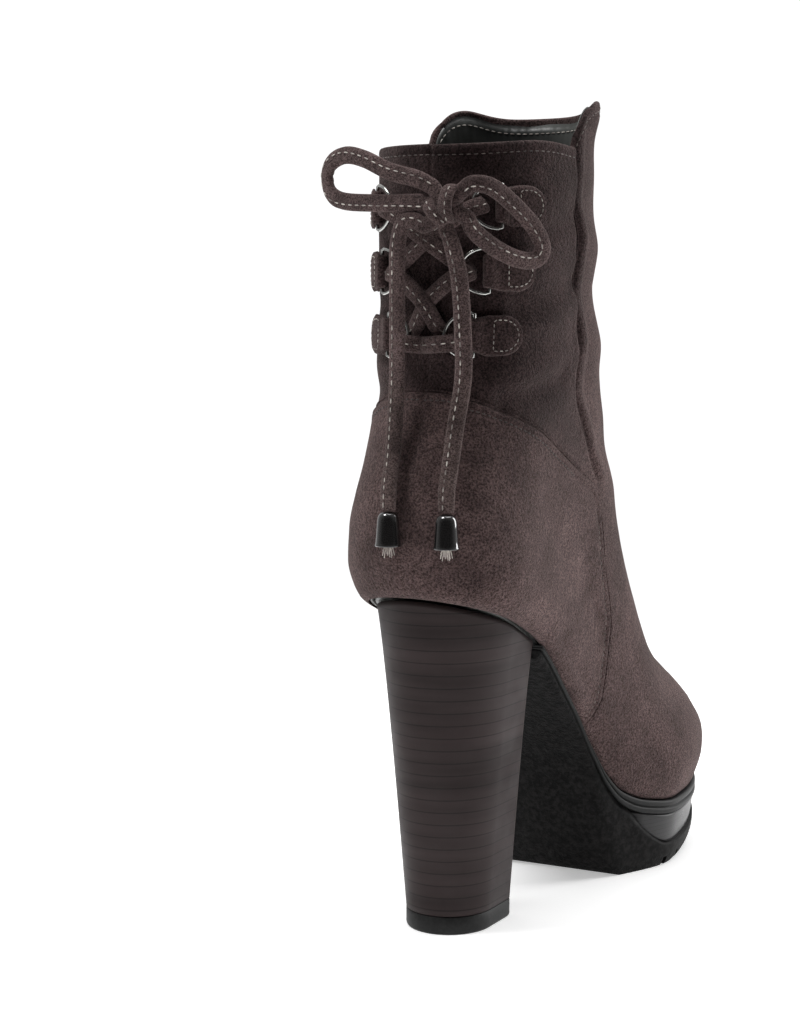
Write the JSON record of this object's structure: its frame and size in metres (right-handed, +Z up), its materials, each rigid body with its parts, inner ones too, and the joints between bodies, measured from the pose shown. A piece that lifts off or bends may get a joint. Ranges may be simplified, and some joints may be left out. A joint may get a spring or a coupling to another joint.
{
  "type": "lace up heel boot",
  "caption": "Right ankle boot with a tall block heel and platform, laced through rings up the back of the shaft, with a zip on the inner side",
  "frame": {"origin": "on the floor under the middle of the heel's foot", "axes": "+X to the outer side of the foot, +Y to the toe, +Z up"},
  "size_m": [0.09, 0.2347, 0.2939],
  "materials": {
    "suede": "napped, matt",
    "lining": "satin",
    "rubber": "satin",
    "stack": "satin with fine level lines",
    "lace": "napped, matt",
    "nickel": "bright",
    "bell": "high gloss",
    "zip": "matt"
  },
  "bodies": {
    "boot": {"upper": "suede", "insole": "lining", "welt": "rubber", "platform": "stack", "outsole": "rubber", "heel": "stack", "heel_lift": "rubber", "ring_tab_lateral_low": "suede", "ring_tab_lateral_mid": "suede", "ring_tab_lateral_top": "suede", "ring_tab_medial_low": "suede", "ring_tab_medial_mid": "suede", "ring_tab_medial_top": "suede", "d_ring_lateral_low": "nickel", "d_ring_lateral_mid": "nickel", "d_ring_lateral_top": "nickel", "d_ring_medial_low": "nickel", "d_ring_medial_mid": "nickel", "d_ring_medial_top": "nickel", "zip_tape": "zip", "zip_teeth": "zip", "zip_slider": "nickel", "lace_crossings": "lace", "lace_knot": "lace", "bow_loop_medial": "lace", "bow_loop_lateral": "lace", "lace_end_medial": "lace", "lace_end_lateral": "lace", "bell_medial": "bell", "bell_lateral": "bell"},
    "zip_pull": {"zip_pull": "nickel"}
  },
  "joints": [
    {"name": "zip_pull_swing", "type": "hinge", "parent": "boot", "child": "zip_pull", "pos_m": [-0.04145, 0.04357, 0.26814], "axis": [0.223, 0.9748, 0], "range_deg": [0, 150]}
  ]
}
